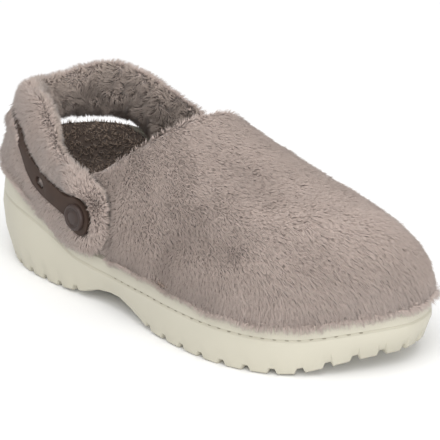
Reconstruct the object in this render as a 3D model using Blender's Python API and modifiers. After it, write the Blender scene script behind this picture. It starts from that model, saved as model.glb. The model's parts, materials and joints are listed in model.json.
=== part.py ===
"""Fuzzy clog slipper, right shoe: foam sole with a heel cup, fur upper, fur heel band on two rivets.

Run with: blender --background --python part.py

Metres, +Z up, the toe toward +X and the inner side of the foot toward +Y. Lengths along the shoe run
from the back of the heel, and the finished part is moved so that its bounding box is centred on X and Y.
"""

import math
from typing import Callable, NamedTuple

import bmesh
import bpy
from mathutils import Matrix, Vector

MM = 0.001

# Driving sizes
LENGTH = 261 * MM
BALL_WIDTH = 105 * MM
HEEL_CUP_HEIGHT = 51 * MM
INSTEP_HEIGHT = 92 * MM
GAP = 0.3 * MM

# Sole
CUP_WALL = 7 * MM
GROOVE_DEPTH = 2.4 * MM
GROOVE_WIDTH = 2.6 * MM
GROOVE_FLANK = 1.3 * MM
LUG_REACH = 13 * MM
LUG_BEVEL = 1.2 * MM
SEAM_DEPTH = 0.9 * MM
SEAM_HALF = 0.8 * MM
SEAM_SWELL = 0.5
RIM_TUCK = 0.4
RIM_ROUND = 1.2 * MM
FORE_GROOVES = 11
HEEL_GROOVES = 10
RINGED_LUGS = 3
WAIST_COLUMNS = 6
FORE_START = 0.55
HEEL_END = 0.375

# Insole
FLEECE = 4 * MM
LINING_RISE = 2.5 * MM
LINING_FALL = 0.16
LINING_END = 0.29
INSOLE_COLUMNS = 56

# Upper
UPPER_WALL = 6.5 * MM
UPPER_COLUMNS = 28
EAR_COLUMNS = 3
UPPER_ROWS = 9
EAR_WALL = 3.5 * MM
EAR_SINK = 6 * MM
EAR_STEP = 0.006
FUR_OVER = 1.5 * MM
TOE_BULGE = 1.5 * MM
FRINGE_OVER = 1.4 * MM
FRINGE_DROP = 1.6 * MM
LOCK_DEPTH = 1.2 * MM
LOCK_RELIEF = 0.6 * MM

# Heel band and strap
BAND_STATIONS = 24
BAND_ROUND = 24 * MM
HEM_THICK = 1.0 * MM
STRAP_THICK = 2.2 * MM
STRAP_CLEAR = 0.5 * MM
TAB_RADIUS = 8.4 * MM
CHANNEL_DEPTH = 2.6 * MM
CHANNEL_CLEAR = 1.2 * MM
CHANNEL_LEAST = 0.2 * MM
SLOT_ALONG = 0.264
SLOT_LENGTH = 9 * MM
SLOT_WIDTH = 4.5 * MM

# Rivets
RIVET_RADIUS = 6.5 * MM
RIVET_HEAD = 2.6 * MM
RIVET_RING = 0.8 * MM
RIVET_STEPS = 16
RIVET_REACH = 14.2 * MM
SHANK_RADIUS = 2.4 * MM
WASHER_RADIUS = 4.5 * MM
WASHER_THICK = 1.2 * MM
PLUG_STEPS = 20


class OutlineRow(NamedTuple):
    """Sole outline seen from above: half widths as shares of BALL_WIDTH."""

    along: float
    lateral: float
    medial: float


OUTLINE = [
    OutlineRow(0.018, 0.170, 0.165),
    OutlineRow(0.070, 0.340, 0.315),
    OutlineRow(0.170, 0.450, 0.395),
    OutlineRow(0.303, 0.475, 0.400),
    OutlineRow(0.417, 0.465, 0.398),
    OutlineRow(0.530, 0.485, 0.440),
    OutlineRow(0.644, 0.512, 0.480),
    OutlineRow(0.758, 0.500, 0.480),
    OutlineRow(0.856, 0.417, 0.440),
    OutlineRow(0.932, 0.262, 0.360),
    OutlineRow(0.980, 0.070, 0.265),
]
TOE_TIP_SIDE = 0.0975


class SoleRow(NamedTuple):
    """Heights of the sole as shares of HEEL_CUP_HEIGHT, and how far its bottom edge pulls in.

    The swell is how far the wall bellies out past the outline under its seam.
    """

    along: float
    bottom: float
    seam: float
    rim: float
    footbed: float
    pull_in: float
    swell: float


SOLE = [
    SoleRow(0.00, -0.03, 0.63, 1.00, 0.50, 7.0 * MM, 1.4 * MM),
    SoleRow(0.07, -0.03, 0.62, 1.00, 0.50, 3.2 * MM, 2.1 * MM),
    SoleRow(0.15, -0.03, 0.615, 0.99, 0.48, 1.6 * MM, 2.1 * MM),
    SoleRow(0.19, -0.03, 0.60, 0.81, 0.44, 1.2 * MM, 2.0 * MM),
    SoleRow(0.24, -0.03, 0.56, 0.70, 0.38, 1.0 * MM, 1.5 * MM),
    SoleRow(0.30, -0.02, 0.47, 0.57, 0.31, 1.0 * MM, 0.5 * MM),
    SoleRow(0.36, 0.02, 0.36, 0.48, 0.285, 1.0 * MM, 0.0 * MM),
    SoleRow(0.42, 0.12, 0.33, 0.472, 0.275, 1.0 * MM, 0.0 * MM),
    SoleRow(0.47, 0.145, 0.33, 0.486, 0.27, 1.0 * MM, 0.0 * MM),
    SoleRow(0.52, 0.09, 0.33, 0.515, 0.27, 1.0 * MM, 0.0 * MM),
    SoleRow(0.59, -0.02, 0.34, 0.52, 0.265, 1.0 * MM, 0.0 * MM),
    SoleRow(0.75, -0.03, 0.33, 0.475, 0.26, 1.0 * MM, 0.0 * MM),
    SoleRow(0.88, -0.02, 0.32, 0.465, 0.27, 1.6 * MM, 0.0 * MM),
    SoleRow(1.00, 0.12, 0.40, 0.56, 0.31, 4.0 * MM, 0.0 * MM),
]


class RidgeRow(NamedTuple):
    """Top line of the upper, as shares of BALL_WIDTH and INSTEP_HEIGHT, and how square its arch is."""

    along: float
    side: float
    height: float
    power: float


RIDGE = [
    RidgeRow(0.30, 0.00, 0.87, 2.5),
    RidgeRow(0.42, 0.00, 0.96, 2.4),
    RidgeRow(0.49, 0.00, 0.98, 2.2),
    RidgeRow(0.53, 0.00, 0.95, 2.1),
    RidgeRow(0.57, 0.00, 0.90, 2.1),
    RidgeRow(0.66, 0.00, 0.800, 2.1),
    RidgeRow(0.78, 0.03, 0.722, 2.1),
]
RIDGE_END = 0.78
RIDGE_FREE = 0.56


class CollarRow(NamedTuple):
    """Collar edge and side step of the upper, for a share of the height of the arch.

    The step is where the upper drops back under the heel band's end, by a share of EAR_SINK.
    """

    height: float
    edge: float
    step: float
    sink: float


COLLAR = [
    CollarRow(0.00, 0.325, 0.440, 1.0),
    CollarRow(0.15, 0.316, 0.464, 1.0),
    CollarRow(0.30, 0.315, 0.474, 1.0),
    CollarRow(0.50, 0.330, 0.468, 1.0),
    CollarRow(0.62, 0.375, 0.450, 0.5),
    CollarRow(0.72, 0.420, 0.455, 0.0),
    CollarRow(0.80, 0.450, 0.480, 0.0),
    CollarRow(0.91, 0.478, 0.508, 0.0),
    CollarRow(1.00, 0.492, 0.525, 0.0),
]


class BandRow(NamedTuple):
    """Heel band by place along the shoe.

    The drop is how far its outer fringe hangs below the sole's rim, the hang how much further it does
    so on the outer side of the foot, and the clear how far its inner face starts above the rim. Top and
    strap are shares of INSTEP_HEIGHT, and the width is the strap's. The faces' places are out from and in
    from the outline at the rim, and the lean is how far the band tips in for its rise.
    """

    along: float
    drop: float
    hang: float
    clear: float
    top: float
    strap: float
    width: float
    outer: float
    inner: float
    lean: float


BAND = [
    BandRow(0.000, -3.5 * MM, 0.0 * MM, 7.0 * MM, 0.895, 0.760, 6.0 * MM, 0.4 * MM, 12.0 * MM, 0.25),
    BandRow(0.030, -3.5 * MM, 4.0 * MM, 7.0 * MM, 0.935, 0.762, 6.0 * MM, 0.4 * MM, 12.0 * MM, 0.25),
    BandRow(0.080, -3.5 * MM, 14.0 * MM, 7.0 * MM, 0.965, 0.765, 6.0 * MM, 0.5 * MM, 12.0 * MM, 0.25),
    BandRow(0.150, -1.5 * MM, 14.0 * MM, 6.5 * MM, 0.970, 0.738, 6.0 * MM, 1.4 * MM, 12.0 * MM, 0.25),
    BandRow(0.200, 1.0 * MM, 0.5 * MM, 5.5 * MM, 0.945, 0.630, 7.5 * MM, 2.8 * MM, 11.5 * MM, 0.22),
    BandRow(0.250, 0.6 * MM, 0.0 * MM, 3.5 * MM, 0.890, 0.562, 9.5 * MM, 4.0 * MM, 8.0 * MM, 0.18),
    BandRow(0.290, 0.6 * MM, 0.0 * MM, 1.0 * MM, 0.810, 0.537, 9.5 * MM, 4.6 * MM, 3.2 * MM, 0.09),
    BandRow(0.325, 1.2 * MM, 0.0 * MM, 1.0 * MM, 0.755, 0.512, 9.5 * MM, 4.6 * MM, 3.0 * MM, 0.07),
    BandRow(0.400, 1.6 * MM, 0.0 * MM, 1.0 * MM, 0.705, 0.443, 9.5 * MM, 4.6 * MM, 3.0 * MM, 0.05),
    BandRow(0.470, 0.6 * MM, 0.0 * MM, 1.0 * MM, 0.690, 0.430, 9.5 * MM, 4.2 * MM, 3.0 * MM, 0.03),
]
BAND_END = 0.454
RIVET_ALONG = 0.379


def smooth(table: list, column: str, along: float) -> float:
    """Read a table's column at a place along the shoe, on a smooth curve through its rows.

    Args:
        table: rows with a first column that rises.
        column: name of the column to read.
        along: value of the first column to read it at.

    Returns:
        The column's value, held flat past the table's ends.
    """
    places = [row[0] for row in table]
    values = [getattr(row, column) for row in table]
    if along <= places[0]:
        return values[0]
    if along >= places[-1]:
        return values[-1]
    i = max(k for k in range(len(places) - 1) if places[k] <= along)
    rises = [(values[k + 1] - values[k]) / (places[k + 1] - places[k]) for k in range(len(places) - 1)]

    def slope(k: int) -> float:
        if k == 0 or k == len(places) - 1 or rises[k - 1] * rises[k] <= 0:
            return 0.0
        return 2 * rises[k - 1] * rises[k] / (rises[k - 1] + rises[k])

    span = places[i + 1] - places[i]
    t = (along - places[i]) / span
    return (
        values[i] * (2 * t**3 - 3 * t**2 + 1)
        + values[i + 1] * (3 * t**2 - 2 * t**3)
        + slope(i) * span * (t**3 - 2 * t**2 + t)
        + slope(i + 1) * span * (t**3 - t**2)
    )


class Side:
    """One side of the sole's outline seen from above, from the toe tip back to the heel."""

    def __init__(self, points: list[Vector], turn: float) -> None:
        """Store the points and their distances from the toe tip.

        Args:
            points: dense 2D points from the toe tip to the back of the heel.
            turn: 1 on the outer side of the foot and -1 on the inner side, for the outward normal.
        """
        self.points = points
        self.turn = turn
        self.distances = [0.0]
        for here, there in zip(points, points[1:]):
            self.distances.append(self.distances[-1] + (there - here).length)
        self.total = self.distances[-1]

    def at(self, distance: float) -> tuple[Vector, Vector]:
        """Give the outline's point and outward normal at a distance back from the toe tip."""
        distance = min(max(distance, 0.0), self.total)
        i = 0
        while i < len(self.points) - 2 and self.distances[i + 1] < distance:
            i += 1
        share = (distance - self.distances[i]) / (self.distances[i + 1] - self.distances[i])
        point = self.points[i].lerp(self.points[i + 1], share)
        tangent = self.tangent(i).lerp(self.tangent(i + 1), share).normalized()
        return point, Vector((-tangent.y, tangent.x)) * self.turn

    def tangent(self, i: int) -> Vector:
        """Give the direction of travel at one of the stored points."""
        if i in (0, len(self.points) - 1):
            return Vector((0.0, -self.turn if i == 0 else self.turn))
        return (self.points[i + 1] - self.points[i - 1]).normalized()

    def distance_at(self, along: float) -> float:
        """Give the distance back from the toe tip at which the outline is at a share of LENGTH."""
        for i, point in enumerate(self.points[1:], 1):
            if point.x <= along * LENGTH:
                ahead = self.points[i - 1].x
                share = (ahead - along * LENGTH) / (ahead - point.x)
                return self.distances[i - 1] + share * (self.distances[i] - self.distances[i - 1])
        return self.total


def outline_sides() -> tuple[Side, Side]:
    """Work out both sides of the sole's outline from its table, as a closed smooth curve."""
    toe = [Vector((LENGTH, TOE_TIP_SIDE * BALL_WIDTH))]
    lateral = [Vector((row.along * LENGTH, -row.lateral * BALL_WIDTH)) for row in reversed(OUTLINE)]
    heel = [Vector((0.0, 0.0))]
    medial = [Vector((row.along * LENGTH, row.medial * BALL_WIDTH)) for row in OUTLINE]
    knots = toe + lateral + heel + medial
    steps = 14
    dense = []
    for i, knot in enumerate(knots):
        before, after, beyond = knots[i - 1], knots[(i + 1) % len(knots)], knots[(i + 2) % len(knots)]
        for step in range(steps):
            t = step / steps
            dense.append(
                0.5
                * (
                    2 * knot
                    + (after - before) * t
                    + (2 * before - 5 * knot + 4 * after - beyond) * t**2
                    + (3 * knot - before - 3 * after + beyond) * t**3
                )
            )
    heel_index = (len(OUTLINE) + 1) * steps
    outer = Side(dense[: heel_index + 1], 1.0)
    inner = Side([dense[0]] + dense[:heel_index - 1:-1], -1.0)
    return outer, inner


LATERAL, MEDIAL = outline_sides()


class Column(NamedTuple):
    """One upright slice through a shell's wall, at a point of the sole's outline."""

    point: Vector
    normal: Vector
    along: float
    grooved: bool
    ringed: bool

    def place(self, inset: float, height: float) -> Vector:
        """Give the point at a distance in from the outline and a height over the floor."""
        flat = self.point - self.normal * inset
        return Vector((flat.x, flat.y, height))


def column(side: Side, distance: float, grooved: bool = False, ringed: bool = False) -> Column:
    """Make the slice at a distance back from the toe tip."""
    point, normal = side.at(distance)
    return Column(point, normal, point.x / LENGTH, grooved, ringed)


def round_the_outline(count: int) -> list[Column]:
    """Space slices evenly from the toe tip down the outer side, round the heel and back."""
    half = count // 2
    outer = [column(LATERAL, LATERAL.total * k / half) for k in range(half + 1)]
    inner = [column(MEDIAL, MEDIAL.total * k / half) for k in range(half - 1, 0, -1)]
    return outer + inner


def side_columns(side: Side) -> list[Column]:
    """Place one side's slices at the edges of its lugs, from the toe tip to the back of the heel."""
    half_floor = GROOVE_WIDTH / 2
    half_mouth = half_floor + GROOVE_FLANK
    fore_length = side.distance_at(FORE_START)
    heel_length = side.total - side.distance_at(HEEL_END)
    fore_pitch = fore_length / (FORE_GROOVES + 0.5)
    heel_pitch = heel_length / (HEEL_GROOVES + 0.1)
    columns = [
        column(side, 0.0, True, True),
        column(side, half_floor, True, True),
        column(side, half_mouth, False, True),
    ]
    for k in range(1, FORE_GROOVES + 1):
        middle = k * fore_pitch
        columns.append(column(side, middle - half_mouth, False, k <= RINGED_LUGS))
        columns.append(column(side, middle - half_floor, True))
        columns.append(column(side, middle + half_floor, True))
        columns.append(column(side, middle + half_mouth, False, k < RINGED_LUGS))
    waist_start = fore_length
    waist_length = side.total - heel_length - waist_start
    for k in range(WAIST_COLUMNS):
        columns.append(column(side, waist_start + waist_length * k / (WAIST_COLUMNS - 1)))
    for k in reversed(range(HEEL_GROOVES)):
        middle = side.total - (k + 0.5) * heel_pitch
        columns.append(column(side, middle - half_mouth, False, k < RINGED_LUGS - 1))
        columns.append(column(side, middle - half_floor, True))
        columns.append(column(side, middle + half_floor, True))
        columns.append(column(side, middle + half_mouth, False, k < RINGED_LUGS))
    columns.append(column(side, side.total, ringed=True))
    return columns


def sole_height(name: str, along: float) -> float:
    """Give one of the sole's heights, in metres, at a share of the length."""
    return smooth(SOLE, name, along) * HEEL_CUP_HEIGHT


def wall_inset(along: float, height: float) -> float:
    """Give how far in from the outline the sole's wall is at a height between its seam and its rim."""
    foot = sole_height("seam", along) + SEAM_HALF
    head = sole_height("rim", along) - RIM_ROUND
    share = min(max((height - foot) / (head - foot), 0.0), 1.0)
    swell = smooth(SOLE, "swell", along)
    start = 0.1 * RIM_ROUND - SEAM_SWELL * swell
    return start + (0.8 * RIM_ROUND + RIM_TUCK * swell - start) * share


def sole_profile(slice_: Column) -> list[Vector]:
    """List the sole's points at one slice, from under the foot, round the wall, to the footbed."""
    bottom = sole_height("bottom", slice_.along)
    seam = sole_height("seam", slice_.along)
    rim = sole_height("rim", slice_.along)
    footbed = sole_height("footbed", slice_.along)
    pull = smooth(SOLE, "pull_in", slice_.along)
    swell = smooth(SOLE, "swell", slice_.along)
    tread = bottom + (GROOVE_DEPTH if slice_.grooved else 0.0)
    field = bottom + (GROOVE_DEPTH if slice_.grooved or slice_.ringed else 0.0)
    wall_foot = bottom + GROOVE_DEPTH + LUG_BEVEL
    wall = seam - SEAM_HALF - wall_foot
    points = [
        (pull + LUG_REACH + LUG_BEVEL, field),
        (pull + LUG_REACH, tread),
        (pull + LUG_BEVEL, tread),
        (pull, tread + 0.8 * LUG_BEVEL),
        (0.4 * pull - swell, wall_foot + 0.4 * wall),
        (-0.85 * swell, wall_foot + 0.8 * wall),
        (-SEAM_SWELL * swell, seam - SEAM_HALF),
        (SEAM_DEPTH - SEAM_SWELL * swell, seam),
        (wall_inset(slice_.along, seam + SEAM_HALF), seam + SEAM_HALF),
        (wall_inset(slice_.along, rim - RIM_ROUND), rim - RIM_ROUND),
        (2.2 * RIM_ROUND + RIM_TUCK * swell, rim),
        (CUP_WALL, rim),
        (CUP_WALL, footbed),
    ]
    return [slice_.place(inset, height) for inset, height in points]


def loft(rings: list[list[Vector]]) -> tuple[bmesh.types.BMesh, list[list[bmesh.types.BMVert]]]:
    """Join closed rings of points, each to the next, with the same number of points in each."""
    mesh = bmesh.new()
    rows = [[mesh.verts.new(point) for point in ring] for ring in rings]
    for row, following in zip(rows, rows[1:]):
        join_rows(mesh, row, following)
    return mesh, rows


def join_rows(mesh: bmesh.types.BMesh, row: list, following: list, closed: bool = True) -> None:
    """Fill the strip between two rows of vertices, leaving out edges that the rows share."""
    last = len(row) if closed else len(row) - 1
    for i in range(last):
        corners = [row[i], row[(i + 1) % len(row)], following[(i + 1) % len(row)], following[i]]
        unlike = []
        for corner in corners:
            if corner not in unlike:
                unlike.append(corner)
        if len(unlike) > 2:
            mesh.faces.new(unlike)


def close_across(mesh: bmesh.types.BMesh, ring: list) -> None:
    """Fill a ring that runs round the outline with strips from its outer side to its inner side."""
    count = len(ring)
    for k in range(count // 2):
        corners = [ring[k], ring[k + 1], ring[(count - k - 1) % count], ring[(count - k) % count]]
        unlike = []
        for corner in corners:
            if corner not in unlike:
                unlike.append(corner)
        mesh.faces.new(unlike)


def colour_of(name: str, rgb: tuple, roughness: float) -> bpy.types.Material:
    """Make a plain material from the part's colour and roughness."""
    material = bpy.data.materials.new(name)
    material.use_nodes = True
    shader = material.node_tree.nodes["Principled BSDF"]
    shader.inputs["Base Color"].default_value = (*rgb, 1.0)
    shader.inputs["Roughness"].default_value = roughness
    material.diffuse_color = (*rgb, 1.0)
    return material


def add_node(name: str, mesh: bmesh.types.BMesh, material: bpy.types.Material, home) -> bpy.types.Object:
    """Finish a mesh and put it in the scene as one named piece."""
    bmesh.ops.recalc_face_normals(mesh, faces=mesh.faces)
    bmesh.ops.triangulate(mesh, faces=mesh.faces, quad_method="FIXED")
    data = bpy.data.meshes.new(name)
    mesh.to_mesh(data)
    mesh.free()
    data.materials.append(material)
    node = bpy.data.objects.new(name, data)
    home.objects.link(node)
    return node


def build_sole(material, home) -> bpy.types.Object:
    """Make the foam sole: lugs, arch, toe spring, seam line, rim band and heel cup."""
    slices = side_columns(LATERAL) + side_columns(MEDIAL)[-2:0:-1]
    profiles = [sole_profile(slice_) for slice_ in slices]
    mesh, rows = loft([list(ring) for ring in zip(*profiles)])
    close_across(mesh, rows[0])
    close_across(mesh, rows[-1])
    return add_node("sole", mesh, material, home)


def lining_top(along: float) -> float:
    """Give the height of the lining's edge: over the rim at the heel and on the footbed further on."""
    cup = sole_height("rim", along) + LINING_RISE
    plate = min(sole_height("footbed", along) + 1.9 * FLEECE, sole_height("rim", along) - 2 * GAP)
    blend = min(max((along - LINING_FALL) / (LINING_END - LINING_FALL), 0.0), 1.0)
    blend = blend * blend * (3 - 2 * blend)
    return cup + (plate - cup) * blend


def build_insole(material, home) -> bpy.types.Object:
    """Make the fleece footbed with the lining that runs up the inside of the heel cup."""
    rings = []
    for slice_ in round_the_outline(INSOLE_COLUMNS):
        footbed = sole_height("footbed", slice_.along) + GAP
        top = lining_top(slice_.along)
        wall = CUP_WALL + 1.5 * GAP
        points = [
            (wall + 2.2 * RIM_ROUND, footbed),
            (wall, footbed + 2.2 * RIM_ROUND),
            (wall, top - 0.3 * FLEECE),
            (wall + 0.3 * FLEECE, top),
            (wall + 0.7 * FLEECE, top),
            (wall + FLEECE, top - 0.3 * FLEECE),
            (wall + FLEECE, footbed + 1.25 * FLEECE),
            (wall + 1.6 * FLEECE, footbed + FLEECE),
        ]
        rings.append([slice_.place(inset, height) for inset, height in points])
    mesh, rows = loft([list(ring) for ring in zip(*rings)])
    close_across(mesh, rows[0])
    close_across(mesh, rows[-1])
    return add_node("insole", mesh, material, home)


def shared_ridge(share: float) -> Vector:
    """Give the point of the upper's top line for a share of the way from its free start to its end."""
    along = RIDGE_FREE + (RIDGE_END - RIDGE_FREE) * (1 - (1 - share) ** 1.7)
    return ridge_point(along)


def ridge_point(along: float) -> Vector:
    """Give the point of the upper's top line at a share of the length."""
    side = smooth(RIDGE, "side", along) * BALL_WIDTH
    return Vector((along * LENGTH, side, smooth(RIDGE, "height", along) * INSTEP_HEIGHT))


def upper_point(side: Side, distance: float, rise: float, sink: float) -> Vector:
    """Give a point of the upper's outer face.

    Args:
        side: side of the foot.
        distance: distance back from the toe tip along the outline.
        rise: share of the way up the arch, as an angle's share of a right angle.
        sink: how far the face drops in, toward the foot.

    Returns:
        The point, on a superellipse from the sole's rim to the top line.
    """
    slice_ = column(side, distance)
    free = side.distance_at(RIDGE_FREE)
    top = shared_ridge((free - distance) / free) if distance < free else ridge_point(slice_.along)
    power = 2 / smooth(RIDGE, "power", top.x / LENGTH)
    angle = rise * math.pi / 2
    inward = 1 - max(math.cos(angle), 0.0) ** power
    upward = math.sin(angle) ** power
    toward_toe = max(1 - distance / free, 0.0)
    bulge = FUR_OVER + TOE_BULGE * toward_toe * math.sin(math.pi * min(rise * 1.3, 1.0)) - sink
    base = slice_.place(-bulge, sole_height("rim", slice_.along) + GAP + LUG_BEVEL)
    return Vector(
        (
            base.x + (top.x - base.x) * inward,
            base.y + (top.y - base.y) * inward,
            base.z + (top.z - base.z) * upward,
        )
    )


def upper_distances(side: Side, rise: float) -> list[float]:
    """Place one row of the upper's points: first over the ear, then from the step to the toe tip."""
    height = math.sin(rise * math.pi / 2) ** 0.8
    edge = side.distance_at(smooth(COLLAR, "edge", height))
    step = smooth(COLLAR, "step", height)
    behind = side.distance_at(step - EAR_STEP)
    ahead = side.distance_at(step)
    ear = [edge + (behind - edge) * k / EAR_COLUMNS for k in range(EAR_COLUMNS + 1)]
    return ear + [ahead * (1 - k / UPPER_COLUMNS) for k in range(UPPER_COLUMNS + 1)]


def upper_rows(side: Side) -> list[list[Vector]]:
    """List the upper's outer points on one side, row by row from the rim to the top line."""
    rows = []
    for j in range(UPPER_ROWS + 1):
        rise = j / UPPER_ROWS
        height = math.sin(rise * math.pi / 2) ** 0.8
        row = []
        for k, distance in enumerate(upper_distances(side, rise)):
            sink = EAR_SINK * smooth(COLLAR, "sink", height) if k <= EAR_COLUMNS else 0.0
            row.append(upper_point(side, distance, rise, sink))
        rows.append(row)
    return rows


def build_upper(material, home) -> bpy.types.Object:
    """Make the fur vamp: a hollow shell with ears under the heel band's ends and a fringe of locks."""
    outer_side, inner_side = upper_rows(LATERAL), upper_rows(MEDIAL)
    last = len(outer_side[0]) - 1
    mesh = bmesh.new()
    top = [
        mesh.verts.new((a + b) / 2) for a, b in zip(outer_side[UPPER_ROWS], inner_side[UPPER_ROWS])
    ]
    outer = []
    for j in range(UPPER_ROWS):
        points = outer_side[j] + inner_side[j][-2::-1]
        outer.append([mesh.verts.new(point) for point in points])
    outer.append(top + top[-2::-1])
    for row, following in zip(outer, outer[1:]):
        join_rows(mesh, row, following, closed=False)
    bmesh.ops.recalc_face_normals(mesh, faces=mesh.faces)
    mesh.normal_update()
    middle = Vector((0.5 * LENGTH, 0.0, 0.0))
    probe = outer[2][last]
    sign = 1.0 if probe.normal.dot(probe.co - middle) > 0 else -1.0
    normals = {vert: vert.normal * sign for row in outer for vert in row}
    inner = []
    made = {}
    for j, row in enumerate(outer):
        line = []
        for i, vert in enumerate(row):
            place = min(i, len(row) - 1 - i)
            wall = EAR_WALL if place <= EAR_COLUMNS and j < 0.7 * UPPER_ROWS else UPPER_WALL
            if vert not in made:
                made[vert] = mesh.verts.new(vert.co - normals[vert] * wall)
            line.append(made[vert])
        inner.append(line)
    for j in range(1, UPPER_ROWS):
        for i, vert in enumerate(outer[j]):
            place = min(i, len(outer[j]) - 1 - i)
            if place > EAR_COLUMNS + 1:
                fade = 1 - j / UPPER_ROWS
                vert.co += normals[vert] * LOCK_RELIEF * fade * (1.3 if (i + 2 * j) % 4 < 2 else -1.3)
    slices = [
        (column(side, distance), k)
        for side, order in ((LATERAL, 1), (MEDIAL, -1))
        for k, distance in list(enumerate(upper_distances(side, 0.0)))[:: order]
    ]
    slices.pop(last)
    base_rows = [[], [], []]
    for i, (slice_, place) in enumerate(slices):
        rim = sole_height("rim", slice_.along) + GAP
        ear = EAR_SINK - FUR_OVER
        inner[0][i].co = slice_.place(ear + EAR_WALL, rim)
        if place <= EAR_COLUMNS:
            points = [(ear, rim), (ear + 0.3 * EAR_WALL, rim), (ear + 0.6 * EAR_WALL, rim)]
        else:
            drop = FRINGE_DROP + LOCK_DEPTH * (1 if i % 4 < 2 else -1) if place > EAR_COLUMNS + 1 else 0.0
            points = [(-FRINGE_OVER, rim - drop), (-2 * GAP, rim - drop), (-2 * GAP, rim)]
            inner[0][i].co = slice_.place(UPPER_WALL - FUR_OVER, rim)
        for row, (inset, height) in zip(base_rows, points):
            row.append(mesh.verts.new(slice_.place(inset, height)))
    shell = [outer[0]] + base_rows + [inner[0]]
    for row, following in zip(shell, shell[1:]):
        join_rows(mesh, row, following, closed=False)
    for row, following in zip(inner, inner[1:]):
        join_rows(mesh, row, following, closed=False)
    for end in (0, len(outer[0]) - 1):
        mesh.faces.new([row[end] for row in shell])
        for j in range(UPPER_ROWS):
            mesh.faces.new([outer[j][end], outer[j + 1][end], inner[j + 1][end], inner[j][end]])
    return add_node("upper", mesh, material, home)


def band_distances(side: Side) -> list[float]:
    """Place the heel band's sections on one side, from its end to the back of the heel."""
    start = side.distance_at(BAND_END)
    shares = [k / BAND_STATIONS for k in range(BAND_STATIONS + 1)]
    return [
        start + (side.total - start) * (0.5 * share + 0.25 * (1 - math.cos(math.pi * share)))
        for share in shares
    ]


def strap_distances(side: Side) -> list[float]:
    """Place the strap's sections on one side: close round its tab, then at the band's own sections."""
    rivet = side.distance_at(RIVET_ALONG)
    turns = [math.radians(angle) for angle in (4, 25, 45, 65, 85, 105, 125, 136)]
    tab = [rivet - TAB_RADIUS * math.cos(turn) for turn in turns]
    return tab + [distance for distance in band_distances(side) if distance > rivet + TAB_RADIUS]


def round_the_heel(distances: Callable[[Side], list[float]]) -> list[tuple[Side, float]]:
    """Chain a band's sections from its outer end round the heel to its inner end."""
    outer = [(LATERAL, distance) for distance in distances(LATERAL)]
    inner = [(MEDIAL, distance) for distance in distances(MEDIAL)[:-1]]
    return outer + inner[::-1]


def strap_height(along: float) -> float:
    """Give the height of the strap's centre line at a share of the length."""
    return smooth(BAND, "strap", along) * INSTEP_HEIGHT


def channel_half(along: float) -> float:
    """Give half the width of the channel that the strap lies in, wider round the rivet."""
    beyond = (abs(along - RIVET_ALONG) * LENGTH - 1.4 * TAB_RADIUS) / TAB_RADIUS
    narrow = min(max(beyond, 0.0), 1.0)
    return TAB_RADIUS + CHANNEL_CLEAR - (TAB_RADIUS - smooth(BAND, "width", along) / 2) * narrow


def band_place(slice_: Column, inset: float, height: float) -> Vector:
    """Give a point of the heel band, tipped in by the band's lean above the sole's rim."""
    rise = max(height - sole_height("rim", slice_.along), 0.0)
    return slice_.place(inset + smooth(BAND, "lean", slice_.along) * rise, height)


def band_section(along: float, hang: float, lock: float) -> list[tuple[float, float]]:
    """List the heel band's section as insets and heights, from its top round its outer face.

    Args:
        along: place along the shoe.
        hang: how much further the outer fringe hangs than the table's drop.
        lock: how far this section's tufts stand out.

    Returns:
        Points round the section, with the strap's channel at places 3 to 6.
    """
    rim = sole_height("rim", along)
    high = smooth(BAND, "top", along) * INSTEP_HEIGHT
    out, in_ = smooth(BAND, "outer", along), smooth(BAND, "inner", along)
    hem = rim - smooth(BAND, "drop", along) - hang
    hem_out = max(2 * GAP - min(wall_inset(along, hem), 0.0), 2 * GAP)
    low_out = max(out, hem_out + HEM_THICK)
    inner_hem = rim + smooth(BAND, "clear", along)
    centre, thick = (in_ - out) / 2, (in_ + out) / 2
    span = high - hem
    strap = strap_height(along)
    channel = channel_half(along)
    past_rivet = (along - RIVET_ALONG) * LENGTH - TAB_RADIUS
    depth = CHANNEL_DEPTH if past_rivet < 0.4 * TAB_RADIUS else CHANNEL_LEAST
    over_rim = max(rim, hem) + 2 * GAP
    return [
        (centre + 0.15 * thick, high + lock),
        (centre - 0.7 * thick, high - 0.06 * span + lock),
        (-out, max(high - 0.25 * span, strap + channel + 1.5 * MM)),
        (-out, strap + channel),
        (depth - out, strap + channel - GAP),
        (depth - out, strap - channel + GAP),
        (-out, strap - channel),
        (-low_out, hem + 0.4 * (strap - channel - hem)),
        (-(low_out + hem_out) / 2, hem + lock),
        (-hem_out, hem + LOCK_RELIEF + lock),
        (-2 * GAP, over_rim + LOCK_RELIEF),
        (centre + 0.75 * thick, inner_hem),
        (in_, inner_hem + 0.22 * (high - inner_hem)),
        (in_, high - 0.3 * span),
        (centre + 0.8 * thick, high - 0.08 * span),
    ]


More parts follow.
